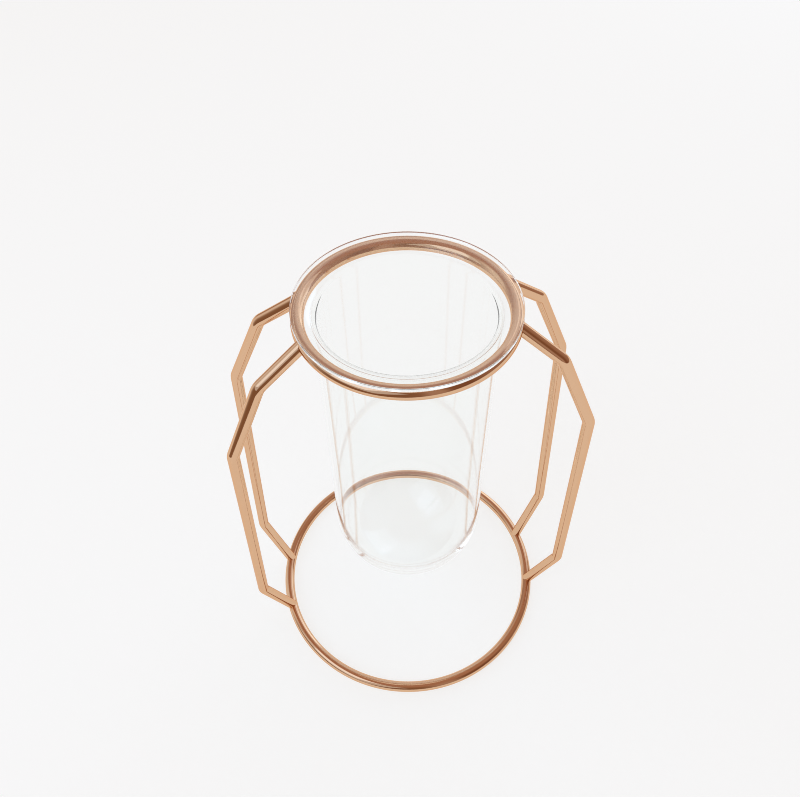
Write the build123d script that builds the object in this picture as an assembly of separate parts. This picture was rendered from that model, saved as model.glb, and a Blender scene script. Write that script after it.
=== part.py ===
from build123d import *
import math
import os

# Test tube vase: a round-bottomed glass tube hung by its flat lip in a stand of bent and welded wire.
# Millimetres, +Z up, origin on the table under the tube. X runs across the left and right pairs of ribs.

# Wire stand
wire_diameter = 4.0
base_ring_radius = 52.5  # to the wire's centre line
top_ring_radius = 32.0  # to the wire's centre line
top_ring_height = 155.6  # from the table to the wire's centre line

# Rib, a flat-bent wire: where it meets the rings, and its three bends.
# A reach is measured from the tube's axis, an azimuth from the X axis.
rib_head_azimuth = 18.0
rib_foot_azimuth = 12.4
shoulder_reach = 47.0
shoulder_drop = 11.6  # below the top ring's centre line
elbow_reach = 59.0
elbow_drop = 38.1  # below the top ring's centre line
elbow_azimuth = 17.0
heel_reach = 62.3
heel_height = 25.0  # above the base ring's centre line
rib_bend_radius = 6.0  # of the wire's centre line

# Glass tube
tube_length = 131.7
tube_wall = 1.3
tube_end_thickness = 2.0  # of the round end at its lowest point
tube_side_clearance = 2.2  # between the tube and the inside of the top ring
lip_thickness = 1.4
lip_overhang = 1.8  # past the top ring's centre line
lip_edge_radius = 0.2  # of both corners of the lip's edge
lip_root_radius = 3.2  # between the tube's outside and the lip's underside
mouth_radius = 4.5  # between the bore and the lip's top
lip_seat_gap = 0.2  # between the lip's underside and the top ring

# Worked out from the sizes above
wire_radius = wire_diameter / 2
tube_radius = top_ring_radius - wire_radius - tube_side_clearance
bore_radius = tube_radius - tube_wall
lip_radius = top_ring_radius + lip_overhang
lip_underside = top_ring_height + wire_radius + lip_seat_gap
lip_top = lip_underside + lip_thickness
tube_bottom = lip_top - tube_length


def ring(radius, height):
    """One closed ring of wire, its centre line at the given radius and height."""
    return Pos(0, 0, height) * Torus(radius, wire_radius)


def place(reach, azimuth, height):
    """Point at a reach from the tube's axis, an azimuth in degrees and a height."""
    angle = math.radians(azimuth)
    return Vector(reach * math.cos(angle), reach * math.sin(angle), height)


def place_in_plane(on_plane, normal, reach, height):
    """Point at a reach and height, in the plane of a rib that has this normal and point."""
    level = (on_plane.dot(normal) - height * normal.Z) / reach
    quarter_turn_off = math.acos(level / math.hypot(normal.X, normal.Y))
    azimuth = math.atan2(normal.Y, normal.X) - quarter_turn_off
    return place(reach, math.degrees(azimuth), height)


def rib_wire():
    """The back right rib as one bent wire, still with square ends. All its bends lie in one plane."""
    head = place(top_ring_radius, rib_head_azimuth, top_ring_height)
    elbow = place(elbow_reach, elbow_azimuth, top_ring_height - elbow_drop)
    foot = place(base_ring_radius, rib_foot_azimuth, wire_radius)
    normal = (elbow - head).cross(foot - head)
    shoulder = place_in_plane(head, normal, shoulder_reach, top_ring_height - shoulder_drop)
    heel = place_in_plane(head, normal, heel_reach, wire_radius + heel_height)
    path = FilletPolyline(head, shoulder, elbow, heel, foot, radius=rib_bend_radius)
    section = Plane(head, z_dir=shoulder - head) * Circle(wire_radius)
    return sweep(section, path=path)


def make_rib(top_ring, base_ring):
    """The back right rib, its ends coped to sit on the round of both rings."""
    return rib_wire() - top_ring - base_ring


def make_glass_tube():
    """Turned profile of the tube: straight wall, round end, and a level lip that lies on the top ring."""
    end_centre = tube_bottom + tube_radius
    bore_end_centre = tube_bottom + tube_end_thickness + bore_radius
    with BuildPart() as tube:
        with BuildSketch(Plane.XZ):
            with BuildLine():
                # Outside, from the lowest point up to the lip
                CenterArc((0, end_centre), tube_radius, -90, 90)
                Line((tube_radius, end_centre), (tube_radius, lip_underside - lip_root_radius))
                root_centre = (tube_radius + lip_root_radius, lip_underside - lip_root_radius)
                CenterArc(root_centre, lip_root_radius, 90, 90)
                # Lip, with both corners of its edge rounded
                FilletPolyline(
                    (tube_radius + lip_root_radius, lip_underside),
                    (lip_radius, lip_underside),
                    (lip_radius, lip_top),
                    (bore_radius + mouth_radius, lip_top),
                    radius=lip_edge_radius,
                )
                # Inside, from the mouth down to the bottom of the bore
                CenterArc((bore_radius + mouth_radius, lip_top - mouth_radius), mouth_radius, 90, 90)
                Line((bore_radius, lip_top - mouth_radius), (bore_radius, bore_end_centre))
                CenterArc((0, bore_end_centre), bore_radius, -90, 90)
                Line((0, bore_end_centre - bore_radius), (0, tube_bottom))
            make_face()
        revolve(axis=Axis.Z)
    return tube.part


top_ring = ring(top_ring_radius, top_ring_height)
base_ring = ring(base_ring_radius, wire_radius)
back_right_rib = make_rib(top_ring, base_ring)
back_left_rib = mirror(back_right_rib, about=Plane.YZ)

nodes = {
    "glass_tube": make_glass_tube(),
    "top_ring": top_ring,
    "base_ring": base_ring,
    "back_right_rib": back_right_rib,
    "back_left_rib": back_left_rib,
    "front_right_rib": mirror(back_right_rib, about=Plane.XZ),
    "front_left_rib": mirror(back_left_rib, about=Plane.XZ),
}

os.makedirs("parts", exist_ok=True)
for name, shape in nodes.items():
    export_step(shape, f"parts/{name}.step")
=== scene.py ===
"""Looks of a test tube vase: a clear glass tube hung by its lip in a stand of polished rose-gold wire."""

import math

import bpy
from mathutils import Matrix, Quaternion, Vector


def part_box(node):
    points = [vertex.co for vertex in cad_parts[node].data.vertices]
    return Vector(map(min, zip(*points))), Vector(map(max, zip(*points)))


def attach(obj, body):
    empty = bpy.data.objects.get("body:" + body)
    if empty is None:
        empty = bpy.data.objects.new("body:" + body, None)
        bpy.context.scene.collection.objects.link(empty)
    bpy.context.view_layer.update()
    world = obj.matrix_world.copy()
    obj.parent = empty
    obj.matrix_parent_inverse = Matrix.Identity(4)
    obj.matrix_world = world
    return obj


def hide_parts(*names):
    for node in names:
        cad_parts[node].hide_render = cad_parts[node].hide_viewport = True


bl_info = {
    "name": "Test Tube Vase",
    "version": (1, 0, 0),
    "blender": (4, 5, 0),
    "location": "3D View > Sidebar > Vase",
    "description": "Makes a glass tube, the wire stand that it hangs in, and a pale studio around them",
    "category": "Object",
}

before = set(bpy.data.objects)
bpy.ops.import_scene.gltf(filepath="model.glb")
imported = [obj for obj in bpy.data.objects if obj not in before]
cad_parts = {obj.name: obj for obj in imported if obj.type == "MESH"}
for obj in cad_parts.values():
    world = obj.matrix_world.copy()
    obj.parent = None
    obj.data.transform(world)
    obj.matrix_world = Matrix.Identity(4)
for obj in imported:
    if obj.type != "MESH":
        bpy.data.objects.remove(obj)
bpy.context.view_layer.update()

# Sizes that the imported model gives, in metres
TOP_RING_LOW, TOP_RING_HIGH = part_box("top_ring")
_, BASE_RING_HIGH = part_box("base_ring")
TUBE_LOW, TUBE_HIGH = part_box("glass_tube")
WIRE_RADIUS = (TOP_RING_HIGH.z - TOP_RING_LOW.z) / 2

# How finely the round forms are divided
WIRE_SIDES = 40
BEND_STEPS = 12
RING_STEPS = 256
TUBE_STEPS = 192
ROUND_END_STEPS = 40
LIP_ROOT_STEPS = 10
LIP_EDGE_STEPS = 6
MOUTH_STEPS = 14
FLOOR_SIDES = 96

# Length of the short stretches at the ends of a straight run, in metres
RUN_END = 0.00005

# Points that are nearer to each other than this become one, in metres
MERGE_DISTANCE = 0.000001

# Edges that bend less than this are shaded smooth
SMOOTH_ANGLE = math.radians(40)

# Angles of the turns, and their axes. Clockwise is as the tube's profile looks from the front.
QUARTER_TURN = math.radians(90)
FULL_TURN = math.radians(360)
ANTICLOCKWISE = (0, -1, 0)
CLOCKWISE = (0, 1, 0)
ROUND_THE_TUBE = (0, 0, 1)

# One rose gold serves all the wires
GOLD_NAME = "polished_rose_gold"

# Clouds to the metre in the gold's tone, in its haze and in the grain of its polish
DRIFT_SCALE = 28.0
HAZE_SCALE = 160.0
GRAIN_SCALE = 2600.0

# Share of the grain in the unevenness of the gold's skin. The rest is the haze's.
GRAIN_SHARE = 0.05

# Waves to the metre in the glass, across and along the tube
WAVE_SCALE = (60.0, 60.0, 12.0)

# Depth of the unevenness in the skin of the gold and of the glass, in metres
GOLD_DEPTH = 0.00005
GLASS_DEPTH = 0.0001

# Roughness of the glass at its haziest
GLASS_HAZE = 0.01

# The room that the metal mirrors: tones of its walls, by the direction in degrees from the X axis.
# They are warm and dim, with a wide pale window behind the vase and a narrower one at its left.
WALL_TONES = (
    (-180, (0.44, 0.36, 0.31)),
    (-168, (0.29, 0.19, 0.13)),
    (-150, (0.26, 0.15, 0.09)),
    (-97, (0.26, 0.15, 0.09)),
    (-86, (0.30, 0.18, 0.12)),
    (-76, (0.46, 0.33, 0.28)),
    (-66, (0.46, 0.33, 0.27)),
    (-58, (0.25, 0.13, 0.08)),
    (-40, (0.24, 0.12, 0.07)),
    (-22, (0.35, 0.21, 0.15)),
    (-5, (0.38, 0.24, 0.18)),
    (18, (0.44, 0.29, 0.23)),
    (46, (0.46, 0.32, 0.26)),
    (60, (0.82, 0.80, 0.86)),
    (90, (0.79, 0.77, 0.82)),
    (106, (0.64, 0.57, 0.56)),
    (122, (0.42, 0.29, 0.24)),
    (136, (0.46, 0.34, 0.29)),
    (144, (0.78, 0.76, 0.78)),
    (160, (0.86, 0.88, 0.92)),
    (170, (0.70, 0.66, 0.66)),
    (180, (0.44, 0.36, 0.31)),
)

# Tone of the ceiling, and the sines of the angles at which it begins and at which no wall is left
CEILING_TONE = (0.45, 0.27, 0.20)
CEILING_BEGINS = 0.62
WALLS_END = 0.9

# Lamps: name, direction from the X axis, angle above the table and roll in degrees,
# width and length in metres, power in watts, and colour
LAMPS = (
    ("left_softbox", -148, 42, 0, 0.76, 0.76, 1.2, (0.71, 1.0, 1.36)),
    ("left_halo", -142, 36, -24, 1.60, 1.15, 2.9, (0.76, 1.0, 1.24)),
    ("right_softbox", 44, 14, 0, 0.76, 0.80, 0.96, (0.7, 1.0, 1.3)),
    ("right_halo", 42, 30, 0, 0.80, 1.10, 1.24, (0.78, 1.0, 1.22)),
)

# Light that runs along inside the glass wall is mirrored very often, and is followed this many times
LIGHT_BOUNCES = 160

# Width, in pixels, over which a pixel gathers its light: narrow, for crisp edges
PIXEL_FILTER = 1.0

# Width of the camera's sensor, in millimetres
SENSOR_WIDTH = 36.0


# What a user would change


class StandSizes(bpy.types.PropertyGroup):
    """Sizes of the wire stand."""

    wire_radius: bpy.props.FloatProperty(
        name="Wire radius",
        description="Half the thickness of the wire",
        default=WIRE_RADIUS,
        unit="LENGTH",
    )
    top_ring_radius: bpy.props.FloatProperty(
        name="Top ring radius",
        description="From the tube's axis to the wire's centre line",
        default=TOP_RING_HIGH.x - WIRE_RADIUS,
        unit="LENGTH",
    )
    top_ring_height: bpy.props.FloatProperty(
        name="Top ring height",
        description="From the table to the wire's centre line",
        default=(TOP_RING_HIGH.z + TOP_RING_LOW.z) / 2,
        unit="LENGTH",
    )
    base_ring_radius: bpy.props.FloatProperty(
        name="Base ring radius",
        description="From the tube's axis to the wire's centre line",
        default=BASE_RING_HIGH.x - WIRE_RADIUS,
        unit="LENGTH",
    )
    head_azimuth: bpy.props.FloatProperty(
        name="Head azimuth",
        description="Where a rib meets the top ring, from the X axis",
        default=math.radians(18.0),
        subtype="ANGLE",
    )
    elbow_azimuth: bpy.props.FloatProperty(
        name="Elbow azimuth",
        description="Direction of a rib's middle bend, from the X axis",
        default=math.radians(17.0),
        subtype="ANGLE",
    )
    foot_azimuth: bpy.props.FloatProperty(
        name="Foot azimuth",
        description="Where a rib meets the base ring, from the X axis",
        default=math.radians(12.4),
        subtype="ANGLE",
    )
    shoulder_reach: bpy.props.FloatProperty(
        name="Shoulder reach",
        description="From the tube's axis to a rib's upper bend",
        default=0.047,
        unit="LENGTH",
    )
    shoulder_drop: bpy.props.FloatProperty(
        name="Shoulder drop",
        description="Upper bend, below the top ring",
        default=0.0116,
        unit="LENGTH",
    )
    elbow_reach: bpy.props.FloatProperty(
        name="Elbow reach",
        description="From the tube's axis to a rib's middle bend",
        default=0.059,
        unit="LENGTH",
    )
    elbow_drop: bpy.props.FloatProperty(
        name="Elbow drop",
        description="Middle bend, below the top ring",
        default=0.0381,
        unit="LENGTH",
    )
    heel_reach: bpy.props.FloatProperty(
        name="Heel reach",
        description="From the tube's axis to a rib's lower bend",
        default=0.0623,
        unit="LENGTH",
    )
    heel_height: bpy.props.FloatProperty(
        name="Heel height",
        description="Lower bend, above the base ring",
        default=0.025,
        unit="LENGTH",
    )
    bend_radius: bpy.props.FloatProperty(
        name="Bend radius",
        description="Of the wire's centre line in a rib's bends",
        default=0.006,
        unit="LENGTH",
    )


class TubeSizes(bpy.types.PropertyGroup):
    """Sizes of the glass tube."""

    lip_top: bpy.props.FloatProperty(
        name="Lip top",
        description="Height of the lip above the table",
        default=TUBE_HIGH.z,
        unit="LENGTH",
    )
    bottom: bpy.props.FloatProperty(
        name="Bottom",
        description="Height of the round end above the table",
        default=TUBE_LOW.z,
        unit="LENGTH",
    )
    lip_radius: bpy.props.FloatProperty(
        name="Lip radius",
        description="From the tube's axis to the edge of the lip",
        default=TUBE_HIGH.x,
        unit="LENGTH",
    )
    lip_thickness: bpy.props.FloatProperty(
        name="Lip thickness",
        description="Of the glass that lies on the top ring",
        default=0.0014,
        unit="LENGTH",
    )
    lip_edge_radius: bpy.props.FloatProperty(
        name="Lip edge radius",
        description="Of both corners of the lip's edge",
        default=0.0002,
        unit="LENGTH",
    )
    lip_root_radius: bpy.props.FloatProperty(
        name="Lip root radius",
        description="Between the tube's outside and the lip's underside",
        default=0.0032,
        unit="LENGTH",
    )
    mouth_radius: bpy.props.FloatProperty(
        name="Mouth radius",
        description="Between the bore and the lip's top",
        default=0.0045,
        unit="LENGTH",
    )
    radius: bpy.props.FloatProperty(
        name="Tube radius",
        description="Outside of the straight wall",
        default=0.0278,
        unit="LENGTH",
    )
    wall: bpy.props.FloatProperty(
        name="Wall",
        description="Thickness of the straight wall",
        default=0.0013,
        unit="LENGTH",
    )
    end_thickness: bpy.props.FloatProperty(
        name="End thickness",
        description="Of the round end at its lowest point",
        default=0.002,
        unit="LENGTH",
    )


class VaseFinish(bpy.types.PropertyGroup):
    """Colours and polish."""

    gold: bpy.props.FloatVectorProperty(
        name="Rose gold",
        description="Colour of the plated wire",
        default=(0.75, 0.485, 0.305),
        size=3,
        subtype="COLOR",
        min=0.0,
        max=1.0,
    )
    deep_gold: bpy.props.FloatVectorProperty(
        name="Deep rose gold",
        description="Colour where the plating is a little thicker",
        default=(0.72, 0.445, 0.27),
        size=3,
        subtype="COLOR",
        min=0.0,
        max=1.0,
    )
    edge_gold: bpy.props.FloatVectorProperty(
        name="Rose gold at the edge",
        description="Colour where the wire is seen at a grazing angle",
        default=(0.95, 0.75, 0.60),
        size=3,
        subtype="COLOR",
        min=0.0,
        max=1.0,
    )
    deep_share: bpy.props.FloatProperty(
        name="Share of deep rose gold",
        description="On average over the wire",
        default=0.3,
        min=0.0,
        max=1.0,
    )
    polish: bpy.props.FloatProperty(
        name="Roughness of the polish",
        description="Lower is closer to a mirror",
        default=0.085,
        min=0.0,
        max=1.0,
    )
    drift: bpy.props.FloatProperty(
        name="Drift",
        description="How far the gold's tone and polish stray from place to place",
        default=0.8,
        min=0.0,
        max=1.0,
    )
    gold_waviness: bpy.props.FloatProperty(
        name="Waviness of the gold",
        description="How much the unevenness of its skin shows",
        default=0.15,
        min=0.0,
        max=1.0,
    )
    glass: bpy.props.FloatVectorProperty(
        name="Glass",
        description="Tint of the glass",
        default=(0.985, 0.995, 0.99),
        size=3,
        subtype="COLOR",
        min=0.0,
        max=1.0,
    )
    glass_ior: bpy.props.FloatProperty(
        name="Index of refraction",
        description="Of the glass",
        default=1.47,
        min=1.0,
        max=2.0,
    )
    glass_waviness: bpy.props.FloatProperty(
        name="Waviness of the glass",
        description="How much the unevenness of its skin shows",
        default=0.12,
        min=0.0,
        max=1.0,
    )


class StageSettings(bpy.types.PropertyGroup):
    """Floor, lamps and camera."""

    floor_radius: bpy.props.FloatProperty(
        name="Floor radius",
        description="Size of the round floor",
        default=1.78,
        unit="LENGTH",
    )
    floor_middle: bpy.props.FloatVectorProperty(
        name="Floor middle",
        description="Where the floor's middle lies, behind and to the right of the vase",
        default=(1.0, 1.1, 0.0),
        size=3,
        subtype="TRANSLATION",
    )
    floor_tint: bpy.props.FloatVectorProperty(
        name="Floor tint",
        description="Makes up for the warm tone of the room",
        default=(0.962, 0.996, 1.0),
        size=3,
        subtype="COLOR",
        min=0.0,
        max=1.0,
    )
    floor_white: bpy.props.FloatProperty(
        name="Background",
        description="How pale the floor and backdrop look, where 1 is white",
        default=0.93,
        min=0.0,
        max=1.0,
    )
    floor_glow: bpy.props.FloatProperty(
        name="Floor glow",
        description="Share of the floor's look that shadows leave alone",
        default=0.62,
        min=0.0,
        max=1.0,
    )
    floor_lift: bpy.props.FloatProperty(
        name="Floor lift",
        description="Makes up for the light that the lamps leave out",
        default=1.31,
        min=0.0,
        max=2.0,
    )
    lamp_distance: bpy.props.FloatProperty(
        name="Lamp distance",
        description="From the middle of the vase's foot to each lamp",
        default=1.3,
        unit="LENGTH",
    )
    camera_place: bpy.props.FloatVectorProperty(
        name="Camera place",
        description="Where the camera stands",
        default=(-0.01938, -0.15991, 0.30026),
        size=3,
        subtype="TRANSLATION",
    )
    camera_pitch: bpy.props.FloatProperty(
        name="Camera pitch",
        description="Turn up from looking straight down",
        default=math.radians(41.332),
        subtype="ANGLE",
    )
    camera_yaw: bpy.props.FloatProperty(
        name="Camera yaw",
        description="Turn about the vertical",
        default=math.radians(-6.057),
        subtype="ANGLE",
    )
    camera_roll: bpy.props.FloatProperty(
        name="Camera roll",
        description="Turn about the line of sight",
        default=math.radians(-0.810),
        subtype="ANGLE",
    )
    camera_lens: bpy.props.FloatProperty(
        name="Camera lens",
        description="Focal length in millimetres",
        default=33.215,
    )


# Materials


class Value:
    """A node's output that takes part in arithmetic. Each operator adds its Math node."""

    def __init__(self, surface, socket):
        self.surface = surface
        self.socket = socket

    def __add__(self, other):
        return self.surface.calculate("ADD", self, other)

    def __radd__(self, other):
        return self.surface.calculate("ADD", other, self)

    def __sub__(self, other):
        return self.surface.calculate("SUBTRACT", self, other)

    def __rsub__(self, other):
        return self.surface.calculate("SUBTRACT", other, self)

    def __mul__(self, other):
        return self.surface.calculate("MULTIPLY", self, other)

    def __rmul__(self, other):
        return self.surface.calculate("MULTIPLY", other, self)

    def __gt__(self, other):
        return self.surface.calculate("GREATER_THAN", self, other)

    def beside(self, output):
        """Another output of the same node."""
        return Value(self.surface, self.socket.node.outputs[output])


class Surface:
    """A node tree that is filled node by node."""

    def __init__(self, tree):
        self.tree = tree
        tree.nodes.clear()

    def add(self, kind, settings, inputs, output=0):
        """Adds a node with its settings and the values or links of its sockets. Returns one output."""
        node = self.tree.nodes.new(kind)
        for name, setting in settings.items():
            if name == "stops":
                place_stops(node.color_ramp.elements, setting)
            else:
                setattr(node, name, setting)
        for name, given in inputs.items():
            if isinstance(given, Value):
                self.tree.links.new(given.socket, node.inputs[name])
            else:
                node.inputs[name].default_value = given
        return Value(self, node.outputs[output]) if node.outputs else None

    def calculate(self, operation, first, second):
        """A Math node on two values or numbers."""
        return self.add("ShaderNodeMath", {"operation": operation}, {0: first, 1: second})

    def blend(self, share, first, second):
        """Colour between two colours."""
        return self.add(
            "ShaderNodeMix",
            {"data_type": "RGBA", "blend_type": "MIX"},
            {"Factor": share, "A": first, "B": second},
            "Result",
        )

    def clouds(self, place, scale, detail):
        """Soft noise from 0 to 1, with about as many clouds to a unit of the place as its scale says."""
        return self.add("ShaderNodeTexNoise", {}, {"Vector": place, "Scale": scale, "Detail": detail})

    def bump(self, strength, depth, height):
        """Normals of a skin that is uneven."""
        inputs = {"Strength": strength, "Distance": depth, "Height": height}
        return self.add("ShaderNodeBump", {}, inputs)


def opaque(colour):
    """A colour property as the four numbers that a colour socket takes."""
    return (*colour, 1.0)


def pale(stage):
    """The colour of the floor and backdrop."""
    return opaque((stage.floor_white,) * 3)


def place_stops(elements, stops):
    """Gives a new colour ramp its stops, which run from its start to its end."""
    for position, _ in stops[1:-1]:
        elements.new(position)
    for element, (position, colour) in zip(elements, stops):
        element.position = position
        element.color = opaque(colour)


def new_surface(name):
    material = bpy.data.materials.new(name)
    material.use_nodes = True
    return material, Surface(material.node_tree)


def rose_gold_wire(finish):
    """Polished plating over drawn wire: its tone drifts along the wire, and its skin isn't quite even."""
    material, surface = new_surface(GOLD_NAME)
    place = surface.add("ShaderNodeTexCoord", {}, {}, "Object")
    patches = surface.clouds(place, DRIFT_SCALE, detail=2.0)
    haze = surface.clouds(place, HAZE_SCALE, detail=4.0)
    grain = surface.clouds(place, GRAIN_SCALE, detail=2.0)
    # Each cloud is 0.5 on average
    share = (patches - 0.5) * finish.drift + finish.deep_share
    roughness = finish.polish * ((haze - 0.5) * finish.drift + 1.0)
    tone = surface.blend(share, opaque(finish.gold), opaque(finish.deep_gold))
    uneven = haze * (1.0 - GRAIN_SHARE) + grain * GRAIN_SHARE
    skin = surface.bump(finish.gold_waviness, GOLD_DEPTH, uneven)
    shader = surface.add(
        "ShaderNodeBsdfPrincipled",
        {},
        {
            "Base Color": tone,
            "Metallic": 1.0,
            "Specular Tint": opaque(finish.edge_gold),
            "Roughness": roughness,
            "Normal": skin,
        },
    )
    surface.add("ShaderNodeOutputMaterial", {}, {"Surface": shader})
    return material


def clear_glass(finish):
    """Blown glass: clear, with the faint waviness of a drawn tube and a trace of haze."""
    material, surface = new_surface("blown_glass")
    place = surface.add("ShaderNodeTexCoord", {}, {}, "Object")
    drawn = surface.add("ShaderNodeMapping", {}, {"Vector": place, "Scale": WAVE_SCALE})
    wave = surface.clouds(drawn, scale=1.0, detail=1.0)
    skin = surface.bump(finish.glass_waviness, GLASS_DEPTH, wave)
    shader = surface.add(
        "ShaderNodeBsdfPrincipled",
        {},
        {
            "Base Color": opaque(finish.glass),
            "Roughness": wave * GLASS_HAZE,
            "IOR": finish.glass_ior,
            "Transmission Weight": 1.0,
            "Normal": skin,
        },
    )
    surface.add("ShaderNodeOutputMaterial", {}, {"Surface": shader})
    return material


def pale_floor(stage):
    """A pale sheet whose brightness is mostly its own, so that only a soft shadow is left on it."""
    material, surface = new_surface("pale_floor")
    seen = surface.add("ShaderNodeLightPath", {}, {}, "Is Camera Ray")
    mirrored = seen.beside("Is Glossy Ray")
    direct = surface.calculate("MINIMUM", seen + mirrored, 1.0)
    matt = surface.add("ShaderNodeBsdfDiffuse", {}, {"Color": pale(stage)})
    glow = surface.add(
        "ShaderNodeEmission",
        {},
        {"Color": opaque(stage.floor_tint), "Strength": stage.floor_white * stage.floor_lift},
    )
    shader = surface.add("ShaderNodeMixShader", {}, {0: direct * stage.floor_glow, 1: matt, 2: glow})
    surface.add("ShaderNodeOutputMaterial", {}, {"Surface": shader})
    return material


# Modelling


def start_edit(piece):
    """Edit mode on one object, with all of it selected."""
    bpy.ops.object.select_all(action="DESELECT")
    piece.select_set(True)
    bpy.context.view_layer.objects.active = piece
    bpy.ops.object.mode_set(mode="EDIT")
    bpy.ops.mesh.select_mode(type="VERT")
    bpy.ops.mesh.select_all(action="SELECT")


def push(offset):
    """Extrudes what is selected and moves the new end."""
    bpy.ops.mesh.extrude_region_move(TRANSFORM_OT_translate={"value": offset})


def run(offset):
    """A straight run. A short stretch at each end keeps the bends beside it from bending its shine."""
    stretch = Vector(offset).normalized() * RUN_END
    push(stretch)
    push(Vector(offset) - 2 * stretch)
    push(stretch)


def turn_end(centre, axis, angle, steps):
    """Sweeps what is selected round an axis, by the right-hand rule, and leaves the new end selected."""
    bpy.ops.mesh.spin(steps=steps, angle=-angle, center=centre, axis=axis)


def finish_mesh(piece, name, material):
    """Closes seams and poles, points the faces outwards, smooths and names the piece."""
    bpy.ops.mesh.select_all(action="SELECT")
    bpy.ops.mesh.remove_doubles(threshold=MERGE_DISTANCE)
    bpy.ops.mesh.normals_make_consistent(inside=False)
    bpy.ops.object.mode_set(mode="OBJECT")
    bpy.ops.object.shade_smooth_by_angle(angle=SMOOTH_ANGLE)
    piece.name = name
    piece.data.name = name
    piece.data.materials.clear()
    piece.data.materials.append(material)


def add_section(radius, place, direction):
    """A round wire's section at a place, square to a direction, with the object at the origin."""
    bpy.ops.object.select_all(action="DESELECT")
    bpy.ops.mesh.primitive_circle_add(
        vertices=WIRE_SIDES,
        radius=radius,
        fill_type="NOTHING",
        location=place,
        rotation=direction.to_track_quat("Z", "Y").to_euler(),
    )
    bpy.ops.object.transform_apply(location=True, rotation=True, scale=True)
    return bpy.context.object


def dress(piece, body, node):
    """Puts a finished piece in the place of a node."""
    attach(piece, body)
    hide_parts(node)


def dress_wire(piece, node):
    dress(piece, "stand", node)


def gold_of(scene):
    """The rose gold, made for the first piece that asks for it."""
    return bpy.data.materials.get(GOLD_NAME) or rose_gold_wire(scene.vase_finish)


def polar(reach, azimuth, height):
    """Point at a reach from the tube's axis, an azimuth and a height."""
    return Vector((reach * math.cos(azimuth), reach * math.sin(azimuth), height))


def polar_in_plane(point, normal, reach, height):
    """Point at a reach and height in the plane through a point."""
    level = (point.dot(normal) - height * normal.z) / reach
    azimuth = math.atan2(normal.y, normal.x) - math.acos(level / math.hypot(normal.x, normal.y))
    return polar(reach, azimuth, height)


def rib_corners(stand):
    """Ends and bends of the back right rib, all in one plane."""
    head = polar(stand.top_ring_radius, stand.head_azimuth, stand.top_ring_height)
    elbow_height = stand.top_ring_height - stand.elbow_drop
    elbow = polar(stand.elbow_reach, stand.elbow_azimuth, elbow_height)
    foot = polar(stand.base_ring_radius, stand.foot_azimuth, stand.wire_radius)
    normal = (elbow - head).cross(foot - head)
    shoulder_height = stand.top_ring_height - stand.shoulder_drop
    shoulder = polar_in_plane(head, normal, stand.shoulder_reach, shoulder_height)
    heel_height = stand.wire_radius + stand.heel_height
    heel = polar_in_plane(head, normal, stand.heel_reach, heel_height)
    return [head, shoulder, elbow, heel, foot]


def bend_wire(corners, bend_radius):
    """Carries the selected section along straight runs and round arcs, from corner to corner."""
    place = corners[0]
    for before, corner, after in zip(corners, corners[1:], corners[2:]):
        arriving = (corner - before).normalized()
        leaving = (after - corner).normalized()
        turn = arriving.angle(leaving)
        setback = bend_radius * math.tan(turn / 2)
        arc_start = corner - arriving * setback
        axis = arriving.cross(leaving).normalized()
        run(arc_start - place)
        turn_end(arc_start + axis.cross(arriving) * bend_radius, axis, turn, BEND_STEPS)
        place = corner + leaving * setback
    run(corners[-1] - place)


class MakeGlassTube(bpy.types.Operator):
    """Draws the tube's profile edge by edge and turns it round the axis"""

    bl_idname = "vase.glass_tube"
    bl_label = "Glass Tube"

    def execute(self, context):
        size = context.scene.vase_tube
        bore = size.radius - size.wall
        root_reach = size.radius + size.lip_root_radius
        edge_reach = size.lip_radius - size.lip_edge_radius
        mouth_reach = bore + size.mouth_radius
        underside = size.lip_top - size.lip_thickness
        wall_top = underside - size.lip_root_radius
        end_centre = size.bottom + size.radius
        bore_end_centre = size.bottom + size.end_thickness + bore
        # The profile starts from one point, the lowest of the round end
        bpy.ops.object.select_all(action="DESELECT")
        bpy.ops.mesh.primitive_plane_add(size=size.wall, location=(0, 0, size.bottom))
        bpy.ops.object.transform_apply(location=True, rotation=True, scale=True)
        tube = bpy.context.object
        start_edit(tube)
        bpy.ops.mesh.merge(type="CENTER")
        # Outside: round end, straight wall and the root of the lip
        turn_end((0, 0, end_centre), ANTICLOCKWISE, QUARTER_TURN, ROUND_END_STEPS)
        run((0, 0, wall_top - end_centre))
        turn_end((root_reach, 0, wall_top), CLOCKWISE, QUARTER_TURN, LIP_ROOT_STEPS)
        # Lip: level underside, edge with two rounded corners, level top
        run((edge_reach - root_reach, 0, 0))
        lower_corner = (edge_reach, 0, underside + size.lip_edge_radius)
        turn_end(lower_corner, ANTICLOCKWISE, QUARTER_TURN, LIP_EDGE_STEPS)
        run((0, 0, size.lip_thickness - 2 * size.lip_edge_radius))
        upper_corner = (edge_reach, 0, size.lip_top - size.lip_edge_radius)
        turn_end(upper_corner, ANTICLOCKWISE, QUARTER_TURN, LIP_EDGE_STEPS)
        run((mouth_reach - edge_reach, 0, 0))
        # Inside: mouth, bore and its round end
        mouth_centre = (mouth_reach, 0, size.lip_top - size.mouth_radius)
        turn_end(mouth_centre, ANTICLOCKWISE, QUARTER_TURN, MOUTH_STEPS)
        run((0, 0, bore_end_centre - size.lip_top + size.mouth_radius))
        turn_end((0, 0, bore_end_centre), CLOCKWISE, QUARTER_TURN, ROUND_END_STEPS)
        bpy.ops.mesh.select_all(action="SELECT")
        turn_end((0, 0, 0), ROUND_THE_TUBE, FULL_TURN, TUBE_STEPS)
        finish_mesh(tube, "blown_tube", clear_glass(context.scene.vase_finish))
        dress(tube, "tube", "glass_tube")
        return {"FINISHED"}


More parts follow.
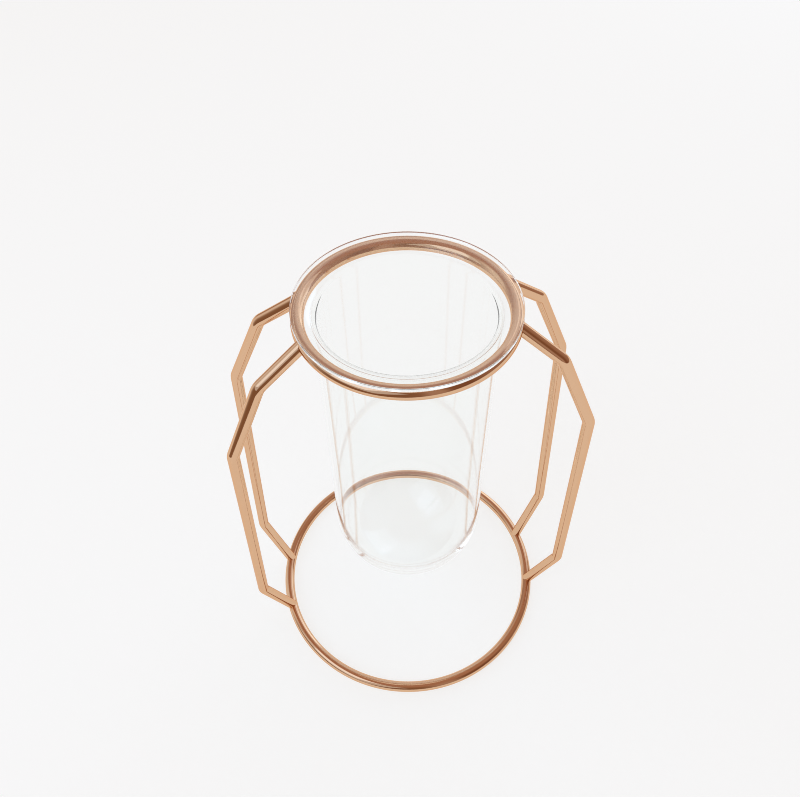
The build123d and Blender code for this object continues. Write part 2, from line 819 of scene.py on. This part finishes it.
class MakeRings(bpy.types.Operator):
    """Bends the two rings out of wire"""

    bl_idname = "vase.rings"
    bl_label = "Rings"

    def execute(self, context):
        stand = context.scene.vase_stand
        gold = gold_of(context.scene)
        for node, radius, height in (
            ("top_ring", stand.top_ring_radius, stand.top_ring_height),
            ("base_ring", stand.base_ring_radius, stand.wire_radius),
        ):
            start = Vector((radius, 0, height))
            ring = add_section(stand.wire_radius, start, direction=Vector((0, 1, 0)))
            start_edit(ring)
            turn_end((0, 0, height), ROUND_THE_TUBE, FULL_TURN, RING_STEPS)
            finish_mesh(ring, "polished_" + node, gold)
            dress_wire(ring, node)
        return {"FINISHED"}


class MakeRibs(bpy.types.Operator):
    """Bends one rib out of wire and mirrors it to the other three places"""

    bl_idname = "vase.ribs"
    bl_label = "Ribs"

    def execute(self, context):
        stand = context.scene.vase_stand
        gold = gold_of(context.scene)
        corners = rib_corners(stand)
        rib = add_section(stand.wire_radius, corners[0], corners[1] - corners[0])
        start_edit(rib)
        bpy.ops.mesh.edge_face_add()
        bend_wire(corners, stand.bend_radius)
        finish_mesh(rib, "polished_back_right_rib", gold)
        for node, mirror in (
            ("back_left_rib", (-1, 1, 1)),
            ("front_right_rib", (1, -1, 1)),
            ("front_left_rib", (-1, -1, 1)),
        ):
            twin = rib.copy()
            twin.data = rib.data.copy()
            bpy.context.collection.objects.link(twin)
            twin.data.transform(Matrix.Diagonal((*mirror, 1)))
            start_edit(twin)
            finish_mesh(twin, "polished_" + node, gold)
            dress_wire(twin, node)
        dress_wire(rib, "back_right_rib")
        return {"FINISHED"}


class MakeStage(bpy.types.Operator):
    """Lays the pale floor, hangs the lamps and sets the camera"""

    bl_idname = "vase.stage"
    bl_label = "Stage"

    def execute(self, context):
        scene = context.scene
        stage = scene.vase_stage
        self.lay_floor(stage)
        self.light_world(scene, stage)
        self.hang_lamps(stage)
        self.set_camera(scene, stage)
        scene.view_settings.view_transform = "Standard"
        scene.cycles.max_bounces = LIGHT_BOUNCES
        scene.cycles.glossy_bounces = LIGHT_BOUNCES
        scene.cycles.transmission_bounces = LIGHT_BOUNCES
        scene.cycles.filter_width = PIXEL_FILTER
        return {"FINISHED"}

    def lay_floor(self, stage):
        bpy.ops.object.select_all(action="DESELECT")
        bpy.ops.mesh.primitive_circle_add(
            vertices=FLOOR_SIDES,
            radius=stage.floor_radius,
            fill_type="NGON",
            location=stage.floor_middle,
        )
        bpy.ops.object.transform_apply(location=True, rotation=True, scale=True)
        floor = bpy.context.object
        floor.name = "floor"
        floor.data.materials.append(pale_floor(stage))

    def light_world(self, scene, stage):
        """Pale where the camera or the glass looks past the floor. The metal mirrors a warm, dim room."""
        world = bpy.data.worlds.new("studio")
        world.use_nodes = True
        scene.world = world
        room = Surface(world.node_tree)
        # Metal that is seen through glass still mirrors the room. A line of sight that comes from it has
        # crossed three surfaces of glass or more and been mirrored at least once.
        seen = room.add("ShaderNodeLightPath", {}, {}, "Is Camera Ray")
        refracted = seen.beside("Is Transmission Ray")
        crossed_three = seen.beside("Transmission Depth") > 2.5
        mirrored_once = seen.beside("Glossy Depth") > 0.5
        looks_past = seen + refracted * (1.0 - crossed_three * mirrored_once)
        # Walls by direction, and the ceiling above them
        direction = room.add("ShaderNodeTexCoord", {}, {}, "Generated")
        x = room.add("ShaderNodeSeparateXYZ", {}, {0: direction}, "X")
        azimuth = room.calculate("ARCTAN2", x.beside("Y"), x)
        stops = [(degrees / 360 + 0.5, tone) for degrees, tone in WALL_TONES]
        walls = room.add("ShaderNodeValToRGB", {"stops": stops}, {"Fac": azimuth * (0.5 / math.pi) + 0.5})
        upward = room.add(
            "ShaderNodeMapRange",
            {"interpolation_type": "SMOOTHSTEP"},
            {"Value": x.beside("Z"), "From Min": CEILING_BEGINS, "From Max": WALLS_END},
        )
        inside = room.blend(upward, walls, opaque(CEILING_TONE))
        colour = room.blend(looks_past, inside, pale(stage))
        backdrop = room.add("ShaderNodeBackground", {}, {"Color": colour, "Strength": 1.0})
        room.add("ShaderNodeOutputWorld", {}, {"Surface": backdrop})

    def hang_lamps(self, stage):
        """Flat lamps round the vase, each facing its foot."""
        for name, azimuth, height, roll, width, length, power, colour in LAMPS:
            lamp = bpy.data.lights.new(name, "AREA")
            lamp.shape = "RECTANGLE"
            lamp.size = width
            lamp.size_y = length
            lamp.energy = power
            lamp.color = colour
            holder = bpy.data.objects.new(name, lamp)
            bpy.context.collection.objects.link(holder)
            rise = math.radians(height)
            reach = stage.lamp_distance * math.cos(rise)
            place = polar(reach, math.radians(azimuth), stage.lamp_distance * math.sin(rise))
            holder.location = place
            turn = place.to_track_quat("Z", "Y") @ Quaternion((0, 0, 1), math.radians(roll))
            holder.rotation_euler = turn.to_euler()

    def set_camera(self, scene, stage):
        camera = bpy.data.objects.new("camera", bpy.data.cameras.new("camera"))
        bpy.context.collection.objects.link(camera)
        camera.data.sensor_fit = "HORIZONTAL"
        camera.data.sensor_width = SENSOR_WIDTH
        camera.data.lens = stage.camera_lens
        camera.data.clip_start = 0.01
        turn = (
            Matrix.Rotation(stage.camera_yaw, 4, "Z")
            @ Matrix.Rotation(stage.camera_pitch, 4, "X")
            @ Matrix.Rotation(stage.camera_roll, 4, "Z")
        )
        camera.matrix_world = Matrix.Translation(stage.camera_place) @ turn
        scene.camera = camera


class VasePanel(bpy.types.Panel):
    """Sizes, colours and the steps that make the vase"""

    bl_idname = "VIEW3D_PT_vase"
    bl_label = "Test Tube Vase"
    bl_space_type = "VIEW_3D"
    bl_region_type = "UI"
    bl_category = "Vase"

    def draw(self, context):
        scene = context.scene
        for group in (scene.vase_tube, scene.vase_stand, scene.vase_finish, scene.vase_stage):
            box = self.layout.box()
            for name in group.__annotations__:
                box.prop(group, name)
        for step in (MakeGlassTube, MakeRings, MakeRibs, MakeStage):
            self.layout.operator(step.bl_idname)


GROUPS = {
    "vase_stand": StandSizes,
    "vase_tube": TubeSizes,
    "vase_finish": VaseFinish,
    "vase_stage": StageSettings,
}
CLASSES = (*GROUPS.values(), MakeGlassTube, MakeRings, MakeRibs, MakeStage, VasePanel)


def register():
    for made in CLASSES:
        bpy.utils.register_class(made)
    for name, group in GROUPS.items():
        setattr(bpy.types.Scene, name, bpy.props.PointerProperty(type=group))


def unregister():
    for name in GROUPS:
        delattr(bpy.types.Scene, name)
    for made in reversed(CLASSES):
        bpy.utils.unregister_class(made)


def main():
    register()
    bpy.ops.vase.glass_tube()
    bpy.ops.vase.rings()
    bpy.ops.vase.ribs()
    bpy.ops.vase.stage()


if __name__ == "__main__":
    main()
